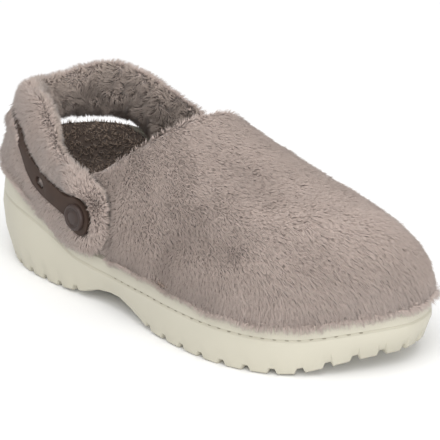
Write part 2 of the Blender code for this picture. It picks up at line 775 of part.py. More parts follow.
def build_band(material, home) -> bpy.types.Object:
    """Make the puffy fur heel band with its rounded ends and the channel for the strap."""
    rings = []
    for i, (side, distance) in enumerate(round_the_heel(band_distances)):
        slice_ = column(side, distance)
        hang = smooth(BAND, "hang", slice_.along) if side is LATERAL else 0.0
        points = band_section(slice_.along, hang, LOCK_RELIEF * (1 if i % 4 < 2 else -1))
        reach = distance - side.distance_at(BAND_END)
        before_end = 1 - min((reach + LUG_BEVEL) / BAND_ROUND, 1.0)
        taper = (1 - before_end**2.4) ** (1 / 2.4)
        heights = [height for _, height in points]
        insets = [inset for inset, _ in points]
        middle = (max(heights) + min(heights)) / 2
        centre = (max(insets) + min(insets)) / 2
        if before_end > 0.64:
            face = min(insets)
            half = (max(heights) - min(heights)) / 2
            points[3:7] = [(face, middle + share * half) for share in (0.3, 0.1, -0.1, -0.3)]
            points[2] = (face, middle + 0.5 * half)
            points[7] = (face, middle - 0.5 * half)
        rings.append(
            [
                band_place(slice_, centre + (inset - centre) * taper**0.4, middle + (height - middle) * taper)
                for inset, height in points
            ]
        )
    mesh, rows = loft(rings)
    mesh.faces.new(rows[0])
    mesh.faces.new(rows[-1])
    return add_node("heel_band", mesh, material, home)


def strap_floor(along: float) -> float:
    """Give the inset of the strap's inner face at the foot of the band's lean."""
    return CHANNEL_DEPTH - smooth(BAND, "outer", along) - STRAP_CLEAR


def build_strap(material, home) -> bpy.types.Object:
    """Make the rubber strap in the band's channel, with a round tab at each rivet."""
    rings = []
    for side, distance in round_the_heel(strap_distances):
        slice_ = column(side, distance)
        behind = distance - side.distance_at(RIVET_ALONG)
        tab = math.sqrt(max(TAB_RADIUS**2 - behind**2, 0.0))
        half = tab if behind < 0 else max(tab, smooth(BAND, "width", slice_.along) / 2)
        floor = strap_floor(slice_.along)
        height = strap_height(slice_.along)
        points = [
            (floor, height + half),
            (floor - STRAP_THICK, height + half),
            (floor - STRAP_THICK, height - half),
            (floor, height - half),
        ]
        rings.append([band_place(slice_, inset, level) for inset, level in points])
    mesh, rows = loft(rings)
    mesh.faces.new(rows[0])
    mesh.faces.new(rows[-1])
    return add_node("strap", mesh, material, home)


def across_the_band(side: Side, along: float) -> Matrix:
    """Give a frame on the strap's outer face, with its Z axis out of the face and X along the strap."""
    slice_ = column(side, side.distance_at(along))
    height = strap_height(along)
    place = band_place(slice_, strap_floor(along) - STRAP_THICK, height)
    ahead = column(side, side.distance_at(along + 0.01))
    ahead_place = band_place(ahead, strap_floor(ahead.along) - STRAP_THICK, strap_height(ahead.along))
    lean = smooth(BAND, "lean", along)
    outward = Vector((slice_.normal.x, slice_.normal.y, lean)).normalized()
    forward = (ahead_place - place).normalized()
    upward = outward.cross(forward)
    frame = Matrix((forward, upward, outward)).transposed().to_4x4()
    frame.translation = place
    return frame


def add_cutter(name: str, frame: Matrix, size: Vector, home) -> bpy.types.Object:
    """Make an oval plug whose width, depth and length come from a size, hidden from the render."""
    mesh = bmesh.new()
    stretch = Matrix.Diagonal((*size, 1.0))
    bmesh.ops.create_cone(
        mesh, cap_ends=True, segments=PLUG_STEPS, radius1=0.5, radius2=0.5, depth=1.0, matrix=stretch
    )
    data = bpy.data.meshes.new(name)
    mesh.to_mesh(data)
    mesh.free()
    plug = bpy.data.objects.new(name, data)
    plug.matrix_world = frame
    plug.hide_render = True
    home.objects.link(plug)
    return plug


def cut(node: bpy.types.Object, plug: bpy.types.Object) -> None:
    """Cut a plug out of a node."""
    modifier = node.modifiers.new(plug.name, "BOOLEAN")
    modifier.operation = "DIFFERENCE"
    modifier.solver = "EXACT"
    modifier.object = plug


def build_rivet(name: str, side: Side, material, home) -> bpy.types.Object:
    """Turn one rivet: a round head with a plain ring, a shank and a washer inside the ear."""
    reach = RIVET_REACH
    profile = [
        (0.0, RIVET_HEAD),
        (0.45 * RIVET_RADIUS, RIVET_HEAD),
        (0.58 * RIVET_RADIUS, RIVET_HEAD - RIVET_RING),
        (0.70 * RIVET_RADIUS, RIVET_HEAD - RIVET_RING),
        (0.78 * RIVET_RADIUS, RIVET_HEAD),
        (0.92 * RIVET_RADIUS, RIVET_HEAD - 0.3 * RIVET_RING),
        (RIVET_RADIUS, 0.5 * RIVET_HEAD),
        (RIVET_RADIUS, GAP),
        (SHANK_RADIUS, GAP),
        (SHANK_RADIUS, -reach),
        (WASHER_RADIUS, -reach),
        (WASHER_RADIUS, -reach - WASHER_THICK),
        (0.0, -reach - WASHER_THICK),
    ]
    data = bpy.data.meshes.new(name)
    edges = [(i, i + 1) for i in range(len(profile) - 1)]
    data.from_pydata([(radius, 0.0, height) for radius, height in profile], edges, [])
    data.materials.append(material)
    rivet = bpy.data.objects.new(name, data)
    rivet.matrix_world = across_the_band(side, RIVET_ALONG)
    turned = rivet.modifiers.new("turn", "SCREW")
    turned.steps = turned.render_steps = RIVET_STEPS
    turned.use_merge_vertices = True
    turned.merge_threshold = 0.01 * MM
    turned.use_normal_calculate = True
    turned.use_normal_flip = True
    home.objects.link(rivet)
    return rivet


def centre(pieces: list[bpy.types.Object], plugs: list[bpy.types.Object]) -> None:
    """Move everything so that the pieces' bounding box is centred on X and Y and stands on the floor."""
    graph = bpy.context.evaluated_depsgraph_get()
    corners = []
    for piece in pieces:
        final = piece.evaluated_get(graph)
        corners += [final.matrix_world @ Vector(corner) for corner in final.bound_box]
    shift = Vector(
        (
            -(min(corner.x for corner in corners) + max(corner.x for corner in corners)) / 2,
            -(min(corner.y for corner in corners) + max(corner.y for corner in corners)) / 2,
            -min(corner.z for corner in corners),
        )
    )
    for thing in pieces + plugs:
        thing.matrix_world = Matrix.Translation(shift) @ thing.matrix_world


def main() -> None:
    """Clear the scene and build every piece of the slipper."""
    for old in list(bpy.data.objects):
        bpy.data.objects.remove(old)
    home = bpy.data.collections.new("clog_slipper")
    bpy.context.scene.collection.children.link(home)
    foam = colour_of("cream foam", (0.72, 0.68, 0.56), 0.6)
    fur = colour_of("taupe fur", (0.34, 0.27, 0.24), 0.9)
    fleece = colour_of("brown fleece", (0.14, 0.11, 0.09), 0.95)
    rubber = colour_of("brown rubber", (0.06, 0.04, 0.04), 0.45)
    build_sole(foam, home)
    build_insole(fleece, home)
    upper = build_upper(fur, home)
    band = build_band(fur, home)
    strap = build_strap(rubber, home)
    cutters = bpy.data.collections.new("cutters")
    bpy.context.scene.collection.children.link(cutters)
    for name, side in (("lateral", LATERAL), ("medial", MEDIAL)):
        build_rivet(f"rivet_{name}", side, rubber, home)
        bore = 2 * (SHANK_RADIUS + GAP)
        frame = across_the_band(side, RIVET_ALONG)
        hole = add_cutter(f"bore_{name}", frame, Vector((bore, bore, 4 * RIVET_REACH)), cutters)
        for node in (upper, band, strap):
            cut(node, hole)
        frame = across_the_band(side, SLOT_ALONG)
        slot = add_cutter(f"slot_{name}", frame, Vector((SLOT_LENGTH, SLOT_WIDTH, 4 * STRAP_THICK)), cutters)
        cut(strap, slot)
    bpy.context.view_layer.update()
    centre(list(home.objects), list(cutters.objects))


if __name__ == "__main__":
    main()
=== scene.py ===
"""Looks of the fuzzy clog slipper: foam sole, fur vamp, fur heel band, rubber strap and fleece lining.

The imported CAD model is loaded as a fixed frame. The sole, the strap and the rivets are finished over
their own forms, and the fur and the fleece are grown as small spikes from skins that follow the solids.
Lengths are in metres, the toe points toward +X and the inner side of the foot toward +Y.
"""

from __future__ import annotations

import json
import logging
import math
from dataclasses import dataclass, field
from enum import Enum

import bmesh
import bpy
import numpy as np
from mathutils import Matrix, Vector
from mathutils.bvhtree import BVHTree
from mathutils.kdtree import KDTree

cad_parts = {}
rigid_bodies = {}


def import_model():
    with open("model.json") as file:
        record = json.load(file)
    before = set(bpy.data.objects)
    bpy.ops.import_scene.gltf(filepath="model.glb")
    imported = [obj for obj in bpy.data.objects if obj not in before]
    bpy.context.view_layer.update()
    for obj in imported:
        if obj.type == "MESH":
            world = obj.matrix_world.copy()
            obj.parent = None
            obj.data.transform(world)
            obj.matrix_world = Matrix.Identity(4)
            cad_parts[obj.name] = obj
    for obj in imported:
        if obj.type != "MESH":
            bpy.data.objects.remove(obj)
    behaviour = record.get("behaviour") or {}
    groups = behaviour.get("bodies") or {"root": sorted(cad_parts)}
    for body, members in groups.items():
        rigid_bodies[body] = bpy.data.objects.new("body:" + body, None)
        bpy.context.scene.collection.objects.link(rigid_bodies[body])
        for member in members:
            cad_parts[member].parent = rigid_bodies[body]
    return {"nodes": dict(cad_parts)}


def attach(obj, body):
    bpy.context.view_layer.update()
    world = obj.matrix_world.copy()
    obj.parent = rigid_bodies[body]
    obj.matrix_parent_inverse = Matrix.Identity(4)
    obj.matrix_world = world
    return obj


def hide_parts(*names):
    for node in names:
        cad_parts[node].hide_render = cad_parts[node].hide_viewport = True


LOG = logging.getLogger("clog_slipper")
MM = 0.001
BODY = "root"

# The vamp's fur hangs over the rim: from this height down, over this much height.
LOW_FROM = 45 * MM
LOW_OVER = 17 * MM
# The band's fur fans out from the rivets: their x and z, and where along the band that begins.
FAN_FROM = (-34.0, 0.0, 46.0)
FAN_START = -52 * MM
FAN_OVER = 24 * MM


class Lay(Enum):
    """Which way the pile of a piece is brushed."""

    TOEWARD = "toeward"
    HANGING = "hanging"
    CURLY = "curly"


@dataclass(frozen=True)
class Finish:
    """A plain material: one colour with fine speckle and a fine bump.

    Attributes:
        name: name of the material.
        colour: main colour, linear.
        shade: colour of the darker patches, linear.
        patch: size of the patches.
        roughness: roughness of the surface.
        grain: size of the bump's grain.
        relief: height of the bump.
        gloss: level of the shader's mirror reflection.
        inner: colour where the piece's attribute "inside" is 1, linear.
    """

    name: str
    colour: tuple[float, float, float]
    shade: tuple[float, float, float]
    patch: float
    roughness: float
    grain: float
    relief: float
    gloss: float = 0.5
    inner: tuple[float, float, float] | None = None

    def material(self) -> bpy.types.Material:
        """Make the material.

        Returns:
            The material, with its pattern on Object coordinates.
        """
        material = bpy.data.materials.new(self.name)
        material.use_nodes = True
        tree = material.node_tree
        shader = tree.nodes["Principled BSDF"]
        shader.inputs["Roughness"].default_value = self.roughness
        shader.inputs["Specular IOR Level"].default_value = self.gloss
        place = tree.nodes.new("ShaderNodeTexCoord")
        patches = tree.nodes.new("ShaderNodeTexNoise")
        patches.inputs["Scale"].default_value = 1.0 / self.patch
        patches.inputs["Detail"].default_value = 4.0
        blend = tree.nodes.new("ShaderNodeValToRGB")
        blend.color_ramp.elements[0].position = 0.3
        blend.color_ramp.elements[0].color = (*self.shade, 1.0)
        blend.color_ramp.elements[1].position = 0.7
        blend.color_ramp.elements[1].color = (*self.colour, 1.0)
        grain = tree.nodes.new("ShaderNodeTexNoise")
        grain.inputs["Scale"].default_value = 1.0 / self.grain
        grain.inputs["Detail"].default_value = 3.0
        bump = tree.nodes.new("ShaderNodeBump")
        bump.inputs["Strength"].default_value = 0.6
        bump.inputs["Distance"].default_value = self.relief
        tree.links.new(place.outputs["Object"], patches.inputs["Vector"])
        tree.links.new(place.outputs["Object"], grain.inputs["Vector"])
        tree.links.new(patches.outputs["Fac"], blend.inputs["Fac"])
        tree.links.new(self.lined(tree, blend.outputs["Color"]), shader.inputs["Base Color"])
        tree.links.new(grain.outputs["Fac"], bump.inputs["Height"])
        tree.links.new(bump.outputs["Normal"], shader.inputs["Normal"])
        return material

    def lined(self, tree: bpy.types.NodeTree, colour: bpy.types.NodeSocket) -> bpy.types.NodeSocket:
        """Change a colour to the inner one on the inside of a piece.

        Args:
            tree: the material's node tree.
            colour: output with the colour of the outside.

        Returns:
            The output to read the colour from.
        """
        if self.inner is None:
            return colour
        inside = tree.nodes.new("ShaderNodeAttribute")
        inside.attribute_name = "inside"
        mix = tree.nodes.new("ShaderNodeMix")
        mix.data_type = "RGBA"
        mix.inputs["B"].default_value = (*self.inner, 1.0)
        tree.links.new(inside.outputs["Fac"], mix.inputs["Factor"])
        tree.links.new(colour, mix.inputs["A"])
        return mix.outputs["Result"]


@dataclass(frozen=True)
class HairFinish:
    """The material of a pile: dark at its roots, light at its tips, with lighter and darker tufts.

    Attributes:
        name: name of the material.
        root: colour at the roots, linear.
        middle: colour half way up, linear.
        tip: colour at the tips, linear.
        shade: factor of the darkest tufts' colour.
        sheen: weight of the sheen.
    """

    name: str
    root: tuple[float, float, float]
    middle: tuple[float, float, float]
    tip: tuple[float, float, float]
    shade: tuple[float, float, float]
    sheen: float

    def material(self) -> bpy.types.Material:
        """Make the material.

        Returns:
            The material, which reads the attributes height and tone of a pile.
        """
        material = bpy.data.materials.new(self.name)
        material.use_nodes = True
        tree = material.node_tree
        shader = tree.nodes["Principled BSDF"]
        shader.inputs["Roughness"].default_value = 0.75
        shader.inputs["Sheen Weight"].default_value = self.sheen
        shader.inputs["Sheen Roughness"].default_value = 0.45
        height = tree.nodes.new("ShaderNodeAttribute")
        height.attribute_name = "height"
        colours = tree.nodes.new("ShaderNodeValToRGB")
        colours.color_ramp.elements[0].color = (*self.root, 1.0)
        colours.color_ramp.elements[1].color = (*self.tip, 1.0)
        middle = colours.color_ramp.elements.new(0.45)
        middle.color = (*self.middle, 1.0)
        tone = tree.nodes.new("ShaderNodeAttribute")
        tone.attribute_name = "tone"
        shades = tree.nodes.new("ShaderNodeValToRGB")
        shades.color_ramp.elements[0].color = (*self.shade, 1.0)
        shades.color_ramp.elements[1].color = (1.0, 1.0, 1.0, 1.0)
        mix = tree.nodes.new("ShaderNodeMix")
        mix.data_type = "RGBA"
        mix.blend_type = "MULTIPLY"
        mix.inputs["Factor"].default_value = 1.0
        tree.links.new(height.outputs["Fac"], colours.inputs["Fac"])
        tree.links.new(tone.outputs["Fac"], shades.inputs["Fac"])
        tree.links.new(colours.outputs["Color"], mix.inputs["A"])
        tree.links.new(shades.outputs["Color"], mix.inputs["B"])
        tree.links.new(mix.outputs["Result"], shader.inputs["Base Color"])
        return material


FOAM = Finish(
    "cream_foam", (0.495, 0.47, 0.388), (0.47, 0.445, 0.363), 40 * MM, 0.55, 0.9 * MM, 0.05 * MM, gloss=0.35
)
# Painted shade: the stitch holes are not cut; each is a small solid in the foam's hue, darkened as the shade
# inside a hole.
STITCH_SHADE = Finish("stitch_hole", (0.30, 0.275, 0.22), (0.25, 0.23, 0.18), 3 * MM, 0.8, 0.5 * MM, 0.05 * MM)
RUBBER = Finish(
    "brown_rubber", (0.053, 0.034, 0.026), (0.041, 0.026, 0.020), 6 * MM, 0.6, 0.4 * MM, 0.05 * MM, gloss=0.15
)
RIVET = Finish(
    "brown_rivet", (0.046, 0.030, 0.025), (0.036, 0.023, 0.02), 5 * MM, 0.4, 0.5 * MM, 0.04 * MM, gloss=0.3
)
FUR_SKIN = Finish(
    "fur_skin",
    (0.54, 0.447, 0.40),
    (0.47, 0.389, 0.348),
    5 * MM,
    0.95,
    0.8 * MM,
    0.4 * MM,
    inner=(0.11, 0.082, 0.067),
)
FLEECE_SKIN = Finish("fleece_skin", (0.12, 0.09, 0.073), (0.09, 0.067, 0.054), 4 * MM, 0.95, 0.9 * MM, 0.5 * MM)
FUR = HairFinish(
    "taupe_fur", (0.435, 0.356, 0.319), (0.53, 0.434, 0.39), (0.64, 0.541, 0.487), (0.66, 0.645, 0.635), 0.2
)
# Painted light and shade: the band's inner face has the same taupe fur, here with paler tips as painted light
# and darker roots and tufts as painted shade.
FUR_INSIDE_LIT_AND_SHADED = HairFinish(
    "taupe_fur_inside", (0.33, 0.265, 0.232), (0.545, 0.45, 0.395), (0.70, 0.595, 0.53), (0.5, 0.48, 0.46), 0.2
)
FLEECE = HairFinish(
    "brown_fleece", (0.17, 0.122, 0.095), (0.40, 0.295, 0.23), (0.66, 0.505, 0.395), (0.35, 0.35, 0.35), 0.2
)


def place_piece(name: str, mesh: bpy.types.Mesh, material: bpy.types.Material) -> bpy.types.Object:
    """Put a finished mesh in the scene as a piece that rides on the shoe.

    Args:
        name: name of the piece.
        mesh: its mesh, in the row frame.
        material: its material.

    Returns:
        The new object.
    """
    mesh.name = name
    mesh.materials.clear()
    mesh.materials.append(material)
    piece = bpy.data.objects.new(name, mesh)
    bpy.context.scene.collection.objects.link(piece)
    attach(piece, BODY)
    LOG.info("%s: %d faces", name, len(mesh.polygons))
    return piece


def merged_copy(node: bpy.types.Object) -> bmesh.types.BMesh:
    """Copy a CAD node's mesh with its loose triangles merged.

    Args:
        node: the CAD node.

    Returns:
        A bmesh of the merged copy.
    """
    mesh = bmesh.new()
    mesh.from_mesh(node.data)
    bmesh.ops.remove_doubles(mesh, verts=mesh.verts, dist=0.01 * MM)
    return mesh


def soften_edges(mesh: bmesh.types.BMesh, sharp: float, offset: float) -> None:
    """Round the sharp edges of a merged copy and shade the rest smooth.

    Args:
        mesh: the merged copy.
        sharp: angle between faces, in degrees, past which an edge is rounded.
        offset: width of the rounding.
    """
    flat = math.radians(20)
    bmesh.ops.join_triangles(mesh, faces=mesh.faces, angle_face_threshold=flat, angle_shape_threshold=math.pi)
    edges = [e for e in mesh.edges if e.is_manifold and e.calc_face_angle(0.0) > math.radians(sharp)]
    bmesh.ops.bevel(
        mesh,
        geom=edges,
        offset=offset,
        segments=2,
        profile=0.5,
        affect="EDGES",
        clamp_overlap=True,
        material=-1,
    )
    for face in mesh.faces:
        face.smooth = True


def ripple(points: np.ndarray, size: float, seed: int) -> np.ndarray:
    """Give a smooth random value for each point.

    Args:
        points: positions, one per row.
        size: length of the waves.
        seed: which random pattern.

    Returns:
        One value per point, mostly between -1 and 1.
    """
    random = np.random.default_rng(seed)
    waves = random.normal(size=(10, 3)) * (2 * math.pi / size) * 0.6
    starts = random.uniform(0, 2 * math.pi, 10)
    return np.sin(points @ waves.T + starts).sum(1) / math.sqrt(10)


def lowness(points: np.ndarray) -> np.ndarray:
    """Say how close points are to the vamp's lower edge.

    Args:
        points: positions, one per row.

    Returns:
        One value per point, from 0 up on the vamp to 1 at the sole's rim.
    """
    return np.clip((LOW_FROM - points[:, 2]) / LOW_OVER, 0, 1)


def unit(vectors: np.ndarray) -> np.ndarray:
    """Scale each row to length one.

    Args:
        vectors: directions, one per row.

    Returns:
        The directions at length one.
    """
    return vectors / np.maximum(np.linalg.norm(vectors, axis=1, keepdims=True), 1e-9)


@dataclass(frozen=True)
class Fold:
    """A soft trough or ridge in a skin, along a line of points, with painted shade in a trough and painted
    light on a ridge.

    Attributes:
        line: points along it, in millimetres.
        reach: how far it runs out to each side.
        depth: how deep it is pressed in, under zero for a ridge.
        lift: how much more upright the hairs stand in it.
        dark: how much darker their tones are painted, as painted shade in a trough; under zero, how much
            lighter, as painted light on a ridge.
    """

    line: tuple[tuple[float, float, float], ...]
    reach: float
    depth: float
    lift: float
    dark: float

    def strength(self, points: np.ndarray) -> np.ndarray:
        """Say how strong the fold is at each point.

        Args:
            points: positions, one per row.

        Returns:
            One value per point, from 0 far off to 1 on the line.
        """
        knots = np.array(self.line) * MM
        nearest = np.full(len(points), np.inf)
        for start, end in zip(knots, knots[1:]):
            way = end - start
            share = np.clip((points - start) @ way / (way @ way), 0, 1)
            apart = np.linalg.norm(points - start - share[:, None] * way, axis=1)
            nearest = np.minimum(nearest, apart)
        return np.exp(-((nearest / self.reach) ** 2))


# Soft folds of the vamp; their last number is painted shade in the hairs' tones, under zero painted light on
# the ridge.
VAMP_FOLDS = (
    Fold(
        ((32, -53, 37), (33, -51, 45), (39, -49, 50), (49, -47, 53), (58, -45, 54), (67, -42, 55)),
        7 * MM,
        2.2 * MM,
        0.06,
        0.45,
    ),
    Fold(((41, -8, 76), (51, -11, 73), (64, -15, 69)), 7 * MM, 1.5 * MM, 0.04, 0.35),
    Fold(((99, -17, 59), (104, -16, 57)), 6 * MM, 1.0 * MM, 0.03, 0.25),
    Fold(((87, -45, 37), (91, -43, 37)), 7 * MM, 1.0 * MM, 0.03, 0.25),
    Fold(((87, -15, 63), (91, -7, 64), (100, -2, 63)), 7 * MM, -1.0 * MM, -0.05, -0.2),
)


@dataclass
class Skin:
    """A smooth skin just under a soft solid's surface, from which its pile grows.

    Attributes:
        node: the CAD node that it follows.
        sink: how far it lies under the solid's surface.
        smoothing: how many times the surface is smoothed.
        mesh: the skin's own mesh.
    """

    node: bpy.types.Object
    sink: float
    smoothing: int = 2
    mesh: bpy.types.Mesh = field(init=False)

    def __post_init__(self) -> None:
        """Make the skin's mesh from the node."""
        skin = merged_copy(self.node)
        for _ in range(self.smoothing):
            bmesh.ops.smooth_vert(
                skin, verts=skin.verts, factor=0.5, use_axis_x=True, use_axis_y=True, use_axis_z=True
            )
        skin.normal_update()
        for vert in skin.verts:
            vert.co -= vert.normal * self.sink
        skin.normal_update()
        for face in skin.faces:
            face.smooth = True
        self.mesh = bpy.data.meshes.new(self.node.name + "_skin")
        skin.to_mesh(self.mesh)
        skin.free()

    def press(self, folds: tuple[Fold, ...]) -> None:
        """Press soft folds into the skin.

        Args:
            folds: the troughs and ridges.
        """
        skin = bmesh.new()
        skin.from_mesh(self.mesh)
        bmesh.ops.subdivide_edges(skin, edges=skin.edges, cuts=1, use_grid_fill=True)
        skin.normal_update()
        points = np.array([tuple(vert.co) for vert in skin.verts])
        depths = sum(fold.depth * fold.strength(points) for fold in folds)
        for vert, depth in zip(list(skin.verts), depths):
            vert.co -= vert.normal * depth
        for face in skin.faces:
            face.smooth = True
        skin.to_mesh(self.mesh)
        skin.free()

    def sample(self, count: int, seed: int) -> tuple[np.ndarray, np.ndarray]:
        """Spread points evenly over the skin.

        Args:
            count: how many points.
            seed: which random draw.

        Returns:
            The points and the skin's smooth normals there.
        """
        random = np.random.default_rng(seed)
        self.mesh.calc_loop_triangles()
        corners = np.array([tuple(t.vertices) for t in self.mesh.loop_triangles])
        places = np.array([tuple(v.co) for v in self.mesh.vertices])
        normals = np.array([tuple(n.vector) for n in self.mesh.vertex_normals])
        a, b, c = places[corners[:, 0]], places[corners[:, 1]], places[corners[:, 2]]
        area = np.linalg.norm(np.cross(b - a, c - a), axis=1)
        chosen = np.searchsorted(np.cumsum(area) / area.sum(), random.uniform(size=count))
        chosen = np.minimum(chosen, len(corners) - 1)
        u, v = random.uniform(size=(2, count, 1))
        root = np.sqrt(u)
        shares = (1 - root, root * (1 - v), root * v)
        points = sum(s * p[chosen] for s, p in zip(shares, (a, b, c)))
        ways = sum(s * normals[corners[chosen, k]] for k, s in enumerate(shares))
        return points, unit(ways)


@dataclass
class Shield:
    """Solids that a pile has to leave free, and ones that cover it.

    Attributes:
        nodes: the CAD nodes it is made of.
        tree: search tree over all of them.
    """

    nodes: list[bpy.types.Object]
    tree: BVHTree = field(init=False)

    def __post_init__(self) -> None:
        """Build one search tree over all the nodes."""
        verts: list[Vector] = []
        faces: list[tuple[int, ...]] = []
        for node in self.nodes:
            start = len(verts)
            verts += [v.co.copy() for v in node.data.vertices]
            faces += [tuple(start + i for i in p.vertices) for p in node.data.polygons]
        self.tree = BVHTree.FromPolygons(verts, faces)

    def covers(self, points: np.ndarray, ways: np.ndarray, reach: float) -> np.ndarray:
        """Say which points have one of the solids within reach in their direction.

        Args:
            points: positions, one per row.
            ways: directions, one per row.
            reach: how far to look.

        Returns:
            One truth value per point.
        """
        cast = self.tree.ray_cast
        return np.array(
            [cast(Vector(p), Vector(w), reach)[0] is not None for p, w in zip(points, ways)], dtype=bool
        )


@dataclass
class Pile:
    """Fur or fleece that grows from a skin, as closed spikes gathered into tufts.

    Attributes:
        name: name of the pieces, each with its own ending.
        skin: what it grows from.
        lay: which way it is brushed.
        finish: its material.
        slot: the record's material slot; not used.
        length: length of a hair.
        width: width of a hair at its root.
        rise: how upright the hairs stand, from 0 to 1.
        tuft: distance between tufts.
        pull: how far a hair's tip is drawn to its tuft's.
        seed: which random draws.
        curl: size of the swirls of a curly pile.
    """

    # How far single hairs differ from the pile's rise, length and pull.
    RISE_SPREAD = (0.75, 1.3)
    LENGTH_SPREAD = (0.75, 1.15)
    PULL_SPREAD = (0.5, 1.2)
    RISE_LIMITS = (0.1, 0.95)
    # How far the rise waves, and how far hairs and whole tufts stray.
    RISE_WAVE, RISE_WAVE_SIZE = 0.04, 12 * MM
    STRAY, SWAY, LEADER_LENGTH = 0.06, 0.08, 1.05
    # What a hair's tone is made of.
    PLAIN_TONE, TUFT_TONE, HAIR_TONE, PATCH_TONE = 0.4, 0.33, 0.21, 0.11
    PATCH_SIZE = 30 * MM
    # Which way the fur lies, and the sizes of the waves in it.
    TOEWARD_WAY = (1.0, 0.0, -0.62)
    HANGING_WAY = (0.12, 0.0, -1.0)
    SWIRL_SIZE, WAVE_SIZE = 38 * MM, 16 * MM

    name: str
    skin: Skin
    lay: Lay
    finish: bpy.types.Material
    slot: str
    length: float
    width: float
    rise: float
    tuft: float
    pull: float
    seed: int
    curl: float = 5 * MM

    def brushed(self, roots: np.ndarray, normals: np.ndarray) -> np.ndarray:
        """Give the direction in which the pile is brushed, along the skin.

        Args:
            roots: the hairs' roots.
            normals: the skin's normals there.

        Returns:
            One direction per hair, at right angles to its normal.
        """
        swirl = ripple(roots, self.SWIRL_SIZE, self.seed + 1)
        wave = ripple(roots, self.WAVE_SIZE, self.seed + 2)
        if self.lay is Lay.TOEWARD:
            way = np.tile(self.TOEWARD_WAY, (len(roots), 1))
            low = lowness(roots)
            way[:, 0] -= 0.8 * low
            way[:, 2] += 0.2 * swirl - 0.5 * low
            way[:, 1] += 0.1 * wave
        elif self.lay is Lay.HANGING:
            way = np.tile(self.HANGING_WAY, (len(roots), 1))
            way[:, 0] += 0.45 * swirl
            way[:, 1] += 0.35 * wave
            spread = unit((roots - np.array(FAN_FROM) * MM) * [1.0, 0.0, 1.0])
            fan = np.clip((roots[:, :1] - FAN_START) / FAN_OVER, 0, 1)
            way = way * (1 - fan) + 1.4 * spread * fan
        else:
            way = np.stack([ripple(roots, self.curl, self.seed + k) for k in (3, 4, 5)], axis=1)
        flat = way - normals * (way * normals).sum(1, keepdims=True)
        return unit(flat)

    def hairs(
        self,
        roots: np.ndarray,
        normals: np.ndarray,
        lift: np.ndarray | None = None,
        grow: np.ndarray | None = None,
    ) -> tuple[np.ndarray, np.ndarray]:
        """Work out the hairs' tips and tones.

        Args:
            roots: the hairs' roots.
            normals: the skin's normals there.
            lift: how much more upright each hair stands; none if left out.
            grow: factor of each hair's length; 1 if left out.

        Returns:
            The tips and one tone per hair.
        """
        random = np.random.default_rng(self.seed + 10)
        number = len(roots)
        lift = np.zeros(number) if lift is None else lift
        grow = np.ones(number) if grow is None else grow
        brushed = self.brushed(roots, normals)
        rise = self.rise * random.uniform(*self.RISE_SPREAD, (number, 1))
        rise = rise + self.RISE_WAVE * ripple(roots, self.RISE_WAVE_SIZE, self.seed + 6)[:, None]
        rise = np.clip(rise + lift[:, None], *self.RISE_LIMITS)
        ways = unit(normals * rise + brushed * (1 - rise) + random.normal(size=(number, 3)) * self.STRAY)
        lengths = self.length * grow[:, None] * random.uniform(*self.LENGTH_SPREAD, (number, 1))
        tips = roots + ways * lengths
        area = sum(polygon.area for polygon in self.skin.mesh.polygons)
        leaders = min(int(area / self.tuft**2), number)
        tree = KDTree(leaders)
        for i, root in enumerate(roots[:leaders]):
            tree.insert(root, i)
        tree.balance()
        leader = np.array([tree.find(root)[1] for root in roots])
        sway = random.normal(size=(leaders, 3)) * self.SWAY
        tuft_ways = unit(ways[:leaders] + sway)
        tuft_tips = roots[:leaders] + tuft_ways * lengths[:leaders] * self.LEADER_LENGTH
        pull = self.pull * random.uniform(*self.PULL_SPREAD, (number, 1))
        tips = tips + (tuft_tips[leader] - tips) * np.clip(pull, 0, 1)
        tuft_tone = random.uniform(0.25, 1.0, leaders)
        patches = ripple(roots, self.PATCH_SIZE, self.seed + 7)
        tones = self.PLAIN_TONE + self.TUFT_TONE * tuft_tone[leader]
        tones = tones + self.HAIR_TONE * random.uniform(size=number) + self.PATCH_TONE * patches
        return tips, np.clip(tones, 0, 1)

    def spikes(
        self, roots: np.ndarray, tips: np.ndarray, tones: np.ndarray, ending: str = ""
    ) -> bpy.types.Object:
        """Make one piece of the pile, each hair a closed three-sided spike.

        Args:
            roots: the hairs' roots.
            tips: their tips.
            tones: their tones.
            ending: what the piece's name ends in, if anything.

        Returns:
            The piece.
        """
        random = np.random.default_rng(self.seed + 20)
        number = len(roots)
        axis = unit(tips - roots)
        across = unit(np.cross(axis, random.normal(size=(number, 3))))
        beside = np.cross(axis, across)
        turns = [2 * math.pi * k / 3 for k in range(3)]
        corners = [roots + self.width / 2 * (math.cos(t) * across + math.sin(t) * beside) for t in turns]
        verts = np.stack([*corners, tips], axis=1).reshape(-1, 3)
        pattern = np.array([[0, 1, 3], [1, 2, 3], [2, 0, 3], [2, 1, 0]])
        faces = (np.arange(number)[:, None, None] * 4 + pattern).reshape(-1, 3)
        mesh = bpy.data.meshes.new(self.name + ending)
        mesh.vertices.add(len(verts))
        mesh.vertices.foreach_set("co", verts.ravel().astype(np.float32))
        mesh.loops.add(faces.size)
        mesh.loops.foreach_set("vertex_index", faces.ravel().astype(np.int32))
        mesh.polygons.add(len(faces))
        mesh.polygons.foreach_set("loop_start", np.arange(0, faces.size, 3, dtype=np.int32))
        mesh.update(calc_edges=True)
        height = mesh.attributes.new("height", "FLOAT", "POINT")
        height.data.foreach_set("value", np.tile([0.0, 0.0, 0.0, 1.0], number).astype(np.float32))
        tone = mesh.attributes.new("tone", "FLOAT", "POINT")
        tone.data.foreach_set("value", np.repeat(tones, 4).astype(np.float32))
        mesh.polygons.foreach_set("use_smooth", np.ones(len(faces), dtype=bool))
        return place_piece(self.name + ending, mesh, self.finish)


